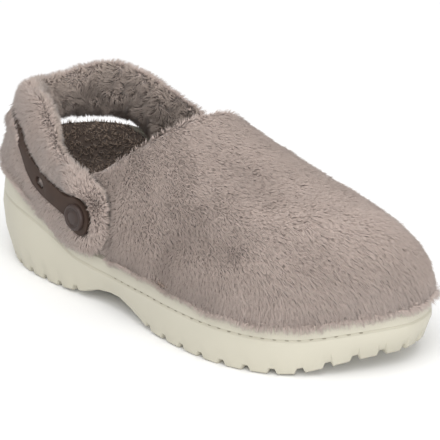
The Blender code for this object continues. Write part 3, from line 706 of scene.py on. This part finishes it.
@dataclass
class Sole:
    """The moulded foam sole with its row of stitch holes.

    Attributes:
        node: the CAD sole.
        edge: how far its sharp edges are rounded.
        stitch_pitch: distance between stitch holes.
        stitch_length: length of one hole.
        stitch_width: width of one hole.
        first_stitch: how far back the row of holes begins.
        last_stitch: how far forward it reaches.
        ball: point under the ball of the foot, from which the seam is looked for.
        seam_from: lowest level at which it is looked for.
        seam_step: distance between the levels.
        seam_steps: how many levels there are.
    """

    node: bpy.types.Object
    edge: float = 0.3 * MM
    stitch_pitch: float = 5.6 * MM
    stitch_length: float = 2.3 * MM
    stitch_width: float = 0.65 * MM
    first_stitch: float = -8 * MM
    last_stitch: float = 122 * MM
    ball: tuple[float, float, float] = (45 * MM, 2 * MM, 0.0)
    seam_from: float = 10 * MM
    seam_step: float = 0.4 * MM
    seam_steps: int = 34

    def build(self) -> bpy.types.Object:
        """Make the sole with softened edges.

        Returns:
            The piece that stands for the CAD sole.
        """
        mesh = merged_copy(self.node)
        soften_edges(mesh, 33, self.edge)
        data = bpy.data.meshes.new("foam_sole")
        mesh.to_mesh(data)
        mesh.free()
        piece = place_piece("foam_sole", data, FOAM.material())
        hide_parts(self.node.name)
        return piece

    def seam_at(self, tree: BVHTree, angle: float) -> Vector:
        """Find the deepest point of the seam line in one direction from the ball of the foot.

        Args:
            tree: search tree over the CAD sole.
            angle: direction, 0 toward the toe.

        Returns:
            The point.
        """
        way = Vector((math.cos(angle), math.sin(angle), 0.0))
        hits = []
        for step in range(self.seam_steps):
            level = self.seam_from + step * self.seam_step
            hit = tree.ray_cast(Vector(self.ball) + way * 0.2 + Vector((0, 0, level)), -way)
            if hit[0] is not None:
                hits.append((hit[0], hit[3]))
        best, depth = None, -1.0
        for k in range(3, len(hits) - 3):
            dip = hits[k][1] - (hits[k - 3][1] + hits[k + 3][1]) / 2
            if dip > depth:
                best, depth = hits[k][0], dip
        return best

    def stitches(self) -> bpy.types.Object:
        """Make the row of stitch holes along the seam, from one side round the toe to the other, each a small
        solid whose darker colour is painted shade.

        Returns:
            The piece with all the holes.
        """
        tree = Shield([self.node]).tree
        line = [self.seam_at(tree, math.radians(angle)) for angle in range(-140, 141)]
        mesh = bmesh.new()
        travelled, due = 0.0, 0.0
        for here, there in zip(line, line[1:]):
            step = (there - here).length
            while due <= travelled + step:
                place = here.lerp(there, (due - travelled) / step)
                due += self.stitch_pitch
                if not self.first_stitch < place.x < self.last_stitch:
                    continue
                along, up = (there - here).normalized(), Vector((0, 0, 1))
                frame = Matrix((along, up.cross(along), up)).transposed().to_4x4()
                frame.translation = place
                size = Matrix.Diagonal((self.stitch_length, 2 * self.stitch_width, self.stitch_width, 1.0))
                bmesh.ops.create_icosphere(mesh, subdivisions=1, radius=0.5, matrix=frame @ size)
            travelled += step
        data = bpy.data.meshes.new("stitch_holes")
        mesh.to_mesh(data)
        mesh.free()
        return place_piece("stitch_holes", data, STITCH_SHADE.material())


@dataclass
class Upper:
    """The fur vamp and the fleece inside it.

    Attributes:
        node: the CAD upper.
        shield: the solids that cover parts of it.
        hair_samples: how many places for hairs are tried on the skin.
        part_hairs: how many hairs each of the pile's three pieces has.
        start: how far over its root a hair may start to meet another solid.
        near: how close another solid is where the hairs are raised.
        front_from: where along the vamp the fringe begins.
        front_over: over what length it grows to its full length.
        fringe: how much longer the hairs of the fringe are.
        edge_short: how much shorter the hairs round the collar are.
        edge_lift: how much more upright they are.
        gap_lift: how much more upright the hairs beside another solid are.
        tones: what is added to the tone: lighter round the collar, painted light in the fringe at the low
            front, painted shade behind the front and painted light on top.
        lining_reach: how far forward the fleece inside is grown.
        lining_samples: how many places for its hairs are tried.
        lining_hairs: how many hairs it has at most.
    """

    node: bpy.types.Object
    shield: Shield
    hair_samples: int = 250000
    part_hairs: int = 41000
    start: float = 1.5 * MM
    near: float = 7 * MM
    front_from: float = 50 * MM
    front_over: float = 40 * MM
    fringe: float = 0.4
    edge_short: float = 0.15
    edge_lift: float = 0.12
    gap_lift: float = 0.3
    tones: tuple[float, float, float, float] = (0.4, 0.45, -0.25, 0.3)
    lining_reach: float = 40 * MM
    lining_samples: int = 90000
    lining_hairs: int = 11000

    def build(self, fur: bpy.types.Material, fleece: bpy.types.Material) -> None:
        """Grow the vamp's pile outside and its lining inside.

        Args:
            fur: material of the outer pile.
            fleece: material of the inner pile.
        """
        skin = Skin(self.node, 1.5 * MM)
        skin.press(VAMP_FOLDS)
        verts = np.array([tuple(vert.co) for vert in skin.mesh.vertices])
        ways = np.array([tuple(normal.vector) for normal in skin.mesh.vertex_normals])
        inside = skin.mesh.attributes.new("inside", "FLOAT", "POINT")
        inside.data.foreach_set("value", (self.outwardness(verts, ways) < 0).astype(np.float32))
        piece = place_piece("vamp_skin", skin.mesh, FUR_SKIN.material())
        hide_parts(self.node.name)
        self.line(skin, fleece)
        self.clothe(skin, fur)

    def clothe(self, skin: Skin, fur: bpy.types.Material) -> None:
        """Grow the pile outside, toward the toe, with a fringe that hangs over the rim.

        Args:
            skin: the vamp's skin.
            fur: material of the pile.
        """
        pile = Pile(
            "vamp_fur",
            skin,
            Lay.TOEWARD,
            fur,
            "fur",
            length=4.8 * MM,
            width=0.45 * MM,
            rise=0.30,
            tuft=1.6 * MM,
            pull=0.3,
            seed=100,
        )
        roots, normals = skin.sample(self.hair_samples, pile.seed)
        outer = (self.outwardness(roots, normals) > -4 * MM) & (normals[:, 2] > -0.55)
        roots, normals = roots[outer], normals[outer]
        free = ~self.shield.covers(roots + normals * self.start, normals, 0.8 * MM)
        roots, normals = roots[free], normals[free]
        limit = 3 * self.part_hairs
        LOG.info("vamp hairs: %d of %d", min(limit, len(roots)), len(roots))
        roots, normals = roots[:limit], normals[:limit]
        edge = np.clip(-2 * normals[:, 0], 0, 1) * (roots[:, 2] > 40 * MM)
        lift = sum(fold.lift * fold.strength(roots) for fold in VAMP_FOLDS)
        lift += self.edge_lift * edge
        lift += self.gap_lift * self.shield.covers(roots + normals * self.start, normals, self.near)
        front = np.clip((roots[:, 0] - self.front_from) / self.front_over, 0, 1)
        grow = 1 + self.fringe * lowness(roots) * front - self.edge_short * edge
        tips, tones = pile.hairs(roots, normals, lift, grow)
        # Painted shade: the folds darken the hairs' tones in the troughs, and the ridge lightens them as
        # painted light.
        tones -= sum(fold.dark * fold.strength(roots) for fold in VAMP_FOLDS)
        # Painted light on the fur that faces up and in the low fringe at the front, painted shade on the vamp
        # behind the front; round the collar the tone is lighter.
        painted_top_light = np.clip((normals[:, 2] - 0.7) / 0.25, 0, 1)
        places = (edge, lowness(roots) * front, 1 - front, painted_top_light)
        tones += sum(more * place for more, place in zip(self.tones, places))
        tones = np.clip(tones, 0, 1)
        bounds = np.quantile(roots[:, 1], [1 / 3, 2 / 3])
        parts = np.searchsorted(bounds, roots[:, 1])
        for part, ending in enumerate(("_outer", "_top", "_inner")):
            mask = parts == part
            pile.spikes(roots[mask], tips[mask], tones[mask], ending)

    def outwardness(self, points: np.ndarray, ways: np.ndarray) -> np.ndarray:
        """Say how far points of the vamp face away from the foot.

        Args:
            points: positions, one per row.
            ways: the surface's directions there.

        Returns:
            One number per point, over zero outside and under zero inside.
        """
        axis = np.stack([points[:, 0], 0.1 * points[:, 1], np.full(len(points), 32 * MM)], axis=1)
        return ((points - axis) * ways).sum(1)

    def line(self, skin: Skin, fleece: bpy.types.Material) -> None:
        """Grow the fleece inside the vamp, as far in as it shows through the collar.

        Args:
            skin: the vamp's skin.
            fleece: material of the pile.
        """
        pile = Pile(
            "vamp_lining",
            skin,
            Lay.CURLY,
            fleece,
            "fleece",
            length=3.4 * MM,
            width=0.6 * MM,
            rise=0.6,
            tuft=1.9 * MM,
            pull=0.5,
            seed=400,
        )
        roots, normals = skin.sample(self.lining_samples, pile.seed)
        inner = (self.outwardness(roots, normals) < -8 * MM) & (roots[:, 0] < self.lining_reach)
        roots, normals = roots[inner][: self.lining_hairs], normals[inner][: self.lining_hairs]
        LOG.info("lining hairs: %d of %d", len(roots), inner.sum())
        tips, tones = pile.hairs(roots, normals)
        pile.spikes(roots, tips, tones)


@dataclass
class HeelBand:
    """The puffy fur band round the heel.

    Attributes:
        node: the CAD band.
        shield: the solids that cover parts of it.
        strap: the strap and the rivets, which its pile leaves free.
        closed: how far forward the pile closes over the strap.
        over_strap: how far out the hairs start that close over it.
        deep_from: how far the skin faces inward where the inner clumps begin.
        inner_hairs: how many hairs the inner face has at most.
        hair_samples: how many places for hairs are tried on the skin.
        start: how far over its root a hair may start to meet another solid.
        near: how close another solid is where the hairs are raised.
        top_lift: how much more upright the hairs on top are.
        gap_lift: how much more upright the hairs beside another solid are.
        top_short: how much shorter the hairs on top are.
        above_long: how much longer the hairs that close over the strap are.
        paler: how much paler the tones of the outer pile are.
    """

    node: bpy.types.Object
    shield: Shield
    strap: Shield
    closed: float = -87 * MM
    over_strap: float = 2.9 * MM
    deep_from: float = 6 * MM
    inner_hairs: int = 34000
    hair_samples: int = 100000
    start: float = 1.3 * MM
    near: float = 6 * MM
    top_lift: float = 0.25
    gap_lift: float = 0.05
    top_short: float = 0.1
    above_long: float = 0.4
    paler: float = 0.35

    def build(self, fur: bpy.types.Material, deep: bpy.types.Material) -> None:
        """Grow the band's pile.

        Args:
            fur: material of the pile.
            deep: material of the pile on the inner face.
        """
        skin = Skin(self.node, 1.5 * MM)
        piece = place_piece("band_skin", skin.mesh, FUR_SKIN.material())
        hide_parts(self.node.name)
        pile = Pile(
            "band_fur",
            skin,
            Lay.HANGING,
            fur,
            "fur",
            length=4.8 * MM,
            width=0.46 * MM,
            rise=0.38,
            tuft=1.7 * MM,
            pull=0.3,
            seed=200,
        )
        roots, normals = skin.sample(self.hair_samples, pile.seed)
        facing = self.outwardness(roots, normals)
        outer, deepest = facing >= -self.deep_from, facing < -self.deep_from
        self.fill(skin, deep, roots[deepest], normals[deepest])
        self.clothe(pile, roots[outer], normals[outer])

    def clothe(self, pile: Pile, roots: np.ndarray, normals: np.ndarray) -> None:
        """Grow the pile outside and on top, which closes over the strap at the back.

        Args:
            pile: the pile.
            roots: the hairs' roots.
            normals: the skin's normals there.
        """
        covered = self.shield.covers(roots + normals * self.start, normals, 1.5 * MM)
        back = roots[:, 0] < self.closed + ripple(roots, 4 * MM, pile.seed + 8) * MM
        roots = roots + normals * (self.over_strap * (covered & back))[:, None]
        free = ~covered | back
        roots, normals, back = roots[free], normals[free], back[free]
        top = np.clip(2 * normals[:, 2] - 0.6, 0, 1)
        down = np.tile([0.0, 0.0, -1.0], (len(roots), 1))
        above = back & self.strap.covers(roots + normals * 1.5 * MM, down, 5 * MM)
        beside = self.shield.covers(roots + normals * self.start, normals, self.near)
        lift = self.top_lift * top + self.gap_lift * beside
        grow = 1 - self.top_short * top + self.above_long * above
        tips, tones = pile.hairs(roots, normals, lift, grow)
        tones = np.clip(tones + self.paler, 0, 1)
        share = self.share_beside(roots, tips, normals, back)
        kept = share > 0.2
        tips = roots + (tips - roots) * share[:, None]
        roots, tips, tones = roots[kept], tips[kept], tones[kept]
        side = roots[:, 1] > 2 * MM
        for mask, ending in ((~side, "_outer"), (side, "_inner")):
            pile.spikes(roots[mask], tips[mask], tones[mask], ending)

    def share_beside(
        self, roots: np.ndarray, tips: np.ndarray, normals: np.ndarray, back: np.ndarray
    ) -> np.ndarray:
        """Say how much of each hair is left beside the strap and the rivets.

        Args:
            roots: the hairs' roots.
            tips: their tips.
            normals: the skin's normals at the roots.
            back: which hairs may lie over the strap.

        Returns:
            One share per hair, from 0 to 1.
        """
        share = np.ones(len(roots))
        for part in (1.0, 0.75, 0.5, 0.25):
            along = roots + (tips - roots) * part
            over = self.strap.covers(along + normals * 4 * MM, -normals, 9 * MM)
            share[over & ~back] = max(part - 0.08, 0.0)
        return share

    def outwardness(self, points: np.ndarray, ways: np.ndarray) -> np.ndarray:
        """Say how far points of the band face away from the foot.

        Args:
            points: positions, one per row.
            ways: the surface's directions there.

        Returns:
            One number per point, over zero outside and under zero inside.
        """
        away = points * [1.0, 1.0, 0.0]
        away[:, 0] -= np.maximum(points[:, 0], -80 * MM)
        return (away * ways).sum(1)

    def fill(self, skin: Skin, deep: bpy.types.Material, roots: np.ndarray, normals: np.ndarray) -> None:
        """Grow the clumps of fur on the band's inner face.

        Args:
            skin: the band's skin.
            deep: material of the pile there.
            roots: the hairs' roots.
            normals: the skin's normals there.
        """
        pile = Pile(
            "band_lining",
            skin,
            Lay.CURLY,
            deep,
            "fur",
            length=4.6 * MM,
            width=0.55 * MM,
            rise=0.58,
            tuft=2.8 * MM,
            pull=0.4,
            seed=250,
            curl=9 * MM,
        )
        free = ~self.shield.covers(roots + normals * self.start, normals, 3 * MM)
        roots, normals = roots[free][: self.inner_hairs], normals[free][: self.inner_hairs]
        tips, tones = pile.hairs(roots, normals)
        pile.spikes(roots, tips, tones)


@dataclass
class Lining:
    """The fleece footbed and the lining of the heel cup.

    Attributes:
        node: the CAD insole.
        shield: the solids that cover parts of it.
        pale_from: height from which painted light makes the lining's edge paler.
        pale_over: how much higher it is palest.
        pale_tone: how much paler the painted light makes it there.
        deep_tone: how much darker than usual all of it is.
        hair_samples: how many places for hairs are tried on the skin.
    """

    node: bpy.types.Object
    shield: Shield
    pale_from: float = 40 * MM
    pale_over: float = 13 * MM
    pale_tone: float = 0.8
    deep_tone: float = 0.25
    hair_samples: int = 46000

    def build(self, fleece: bpy.types.Material) -> None:
        """Grow the lining's pile.

        Args:
            fleece: material of the pile.
        """
        skin = Skin(self.node, 0.5 * MM, 1)
        piece = place_piece("fleece_skin", skin.mesh, FLEECE_SKIN.material())
        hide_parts(self.node.name)
        pile = Pile(
            "fleece_pile",
            skin,
            Lay.CURLY,
            fleece,
            "fleece",
            length=2.6 * MM,
            width=0.55 * MM,
            rise=0.6,
            tuft=1.8 * MM,
            pull=0.5,
            seed=300,
        )
        roots, normals = skin.sample(self.hair_samples, pile.seed)
        free = ~self.shield.covers(roots + normals * 0.6 * MM, normals, 2.5 * MM)
        free &= normals[:, 2] > -0.3
        roots, normals = roots[free], normals[free]
        tips, tones = pile.hairs(roots, normals)
        # Painted light: the lining's tones turn paler toward its top edge, where light falls on it.
        edge = np.clip((roots[:, 2] - self.pale_from) / self.pale_over, 0, 1)
        pile.spikes(roots, tips, np.clip(tones - self.deep_tone + self.pale_tone * edge, 0, 1))


@dataclass
class Fastening:
    """The rubber strap and its two rivets.

    Attributes:
        strap: the CAD strap.
        rivets: the CAD rivets.
        edge: how far the strap's edges are rounded.
    """

    strap: bpy.types.Object
    rivets: list[bpy.types.Object]
    edge: float = 0.35 * MM

    def build(self) -> None:
        """Make the strap and the rivets with rounded edges."""
        rubber, cap = RUBBER.material(), RIVET.material()
        for node, material, slot in [(self.strap, rubber, "strap_rubber")] + [
            (rivet, cap, "rivet_plastic") for rivet in self.rivets
        ]:
            mesh = merged_copy(node)
            soften_edges(mesh, 35, self.edge)
            data = bpy.data.meshes.new(node.name + "_finished")
            mesh.to_mesh(data)
            mesh.free()
            piece = place_piece(node.name + "_finished", data, material)
            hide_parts(node.name)


@dataclass(frozen=True)
class Lamp:
    """A soft square light that points at the shoe.

    Attributes:
        name: name of the light.
        place: where it hangs.
        size: its side.
        power: its power in watts.
    """

    name: str
    place: tuple[float, float, float]
    size: float
    power: float

    def hang(self) -> None:
        """Put the light in the scene."""
        lamp = bpy.data.lights.new(self.name, "AREA")
        lamp.shape = "SQUARE"
        lamp.size = self.size
        lamp.energy = self.power
        place = Vector(self.place)
        thing = bpy.data.objects.new(self.name, lamp)
        thing.matrix_world = Matrix.Translation(place) @ place.to_track_quat("Z", "Y").to_matrix().to_4x4()
        bpy.context.scene.collection.objects.link(thing)


@dataclass(frozen=True)
class Studio:
    """Camera, floor and lights.

    Attributes:
        azimuth: the camera's direction round the shoe, in degrees.
        elevation: its height over the floor, in degrees.
        roll: its turn about its own axis, in degrees.
        distance: how far it stands from its target.
        lens: its focal length, in millimetres.
        target: the point of the shoe it is placed from.
        aim: how far right of and over the target it looks.
        lamps: the lights.
        paleness: how pale the floor is.
        daylight: strength of the white light from all round.
    """

    azimuth: float = 50.5
    elevation: float = 20.5
    roll: float = -1.0
    distance: float = 1.2
    lens: float = 206.2
    target: tuple[float, float, float] = (0.000345, 0.001784, 0.04153)
    aim: tuple[float, float] = (0.00714, -0.00381)
    lamps: tuple[Lamp, ...] = (
        Lamp("key", (0.7, -0.8, 1.75), 1.6, 19),
        Lamp("toe_fill", (1.8, -0.8, 0.4), 1.2, 20),
    )
    paleness: float = 0.92
    daylight: float = 0.85

    def camera(self) -> None:
        """Place the camera and make it the scene's."""
        turn, lift, roll = (math.radians(angle) for angle in (self.azimuth, self.elevation, self.roll))
        back = Vector((math.sin(turn) * math.cos(lift), -math.cos(turn) * math.cos(lift), math.sin(lift)))
        right = Vector((math.cos(turn), math.sin(turn), 0.0))
        up = back.cross(right)
        right, up = right * math.cos(roll) + up * math.sin(roll), up * math.cos(roll) - right * math.sin(roll)
        place = Vector(self.target) + back * self.distance
        seen = Vector(self.target) + right * self.aim[0] + up * self.aim[1]
        back = (place - seen).normalized()
        right = up.cross(back).normalized()
        up = back.cross(right)
        frame = Matrix((right, up, back)).transposed().to_4x4()
        frame.translation = place
        lens = bpy.data.cameras.new("camera")
        lens.lens = self.lens
        lens.sensor_width = 36.0
        lens.clip_end = 20.0
        camera = bpy.data.objects.new("camera", lens)
        camera.matrix_world = frame
        bpy.context.scene.collection.objects.link(camera)
        bpy.context.scene.camera = camera

    def floor(self) -> None:
        """Lay the plain pale floor."""
        mesh = bmesh.new()
        bmesh.ops.create_grid(mesh, x_segments=1, y_segments=1, size=30.0)
        data = bpy.data.meshes.new("floor")
        mesh.to_mesh(data)
        mesh.free()
        floor = bpy.data.objects.new("floor", data)
        material = bpy.data.materials.new("pale_floor")
        material.use_nodes = True
        shader = material.node_tree.nodes["Principled BSDF"]
        shader.inputs["Base Color"].default_value = (self.paleness, self.paleness, self.paleness, 1.0)
        shader.inputs["Roughness"].default_value = 0.9
        data.materials.append(material)
        bpy.context.scene.collection.objects.link(floor)

    def build(self) -> None:
        """Set up the whole studio."""
        self.camera()
        self.floor()
        for lamp in self.lamps:
            lamp.hang()
        world = bpy.data.worlds.new("white_room")
        bpy.context.scene.world = world
        world.use_nodes = True
        backdrop = world.node_tree.nodes["Background"]
        backdrop.inputs["Color"].default_value = (1.0, 1.0, 1.0, 1.0)
        backdrop.inputs["Strength"].default_value = self.daylight
        bpy.context.scene.view_settings.view_transform = "Standard"


def main() -> None:
    """Load the frame and build every piece around it."""
    logging.basicConfig(level=logging.INFO, format="%(name)s: %(message)s")
    for thing in list(bpy.data.objects):
        bpy.data.objects.remove(thing)
    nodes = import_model()["nodes"]
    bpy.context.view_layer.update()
    fur, fleece = FUR.material(), FLEECE.material()
    fastening = [nodes["strap"], nodes["rivet_lateral"], nodes["rivet_medial"]]
    sole = Sole(nodes["sole"])
    sole.build()
    sole.stitches()
    Upper(nodes["upper"], Shield([nodes["heel_band"], nodes["insole"]])).build(fur, fleece)
    band = HeelBand(nodes["heel_band"], Shield([nodes["upper"], *fastening]), Shield(fastening))
    band.build(fur, FUR_INSIDE_LIT_AND_SHADED.material())
    Lining(nodes["insole"], Shield([nodes["upper"], nodes["sole"]])).build(fleece)
    Fastening(nodes["strap"], fastening[1:]).build()
    Studio().build()


if __name__ == "__main__":
    main()
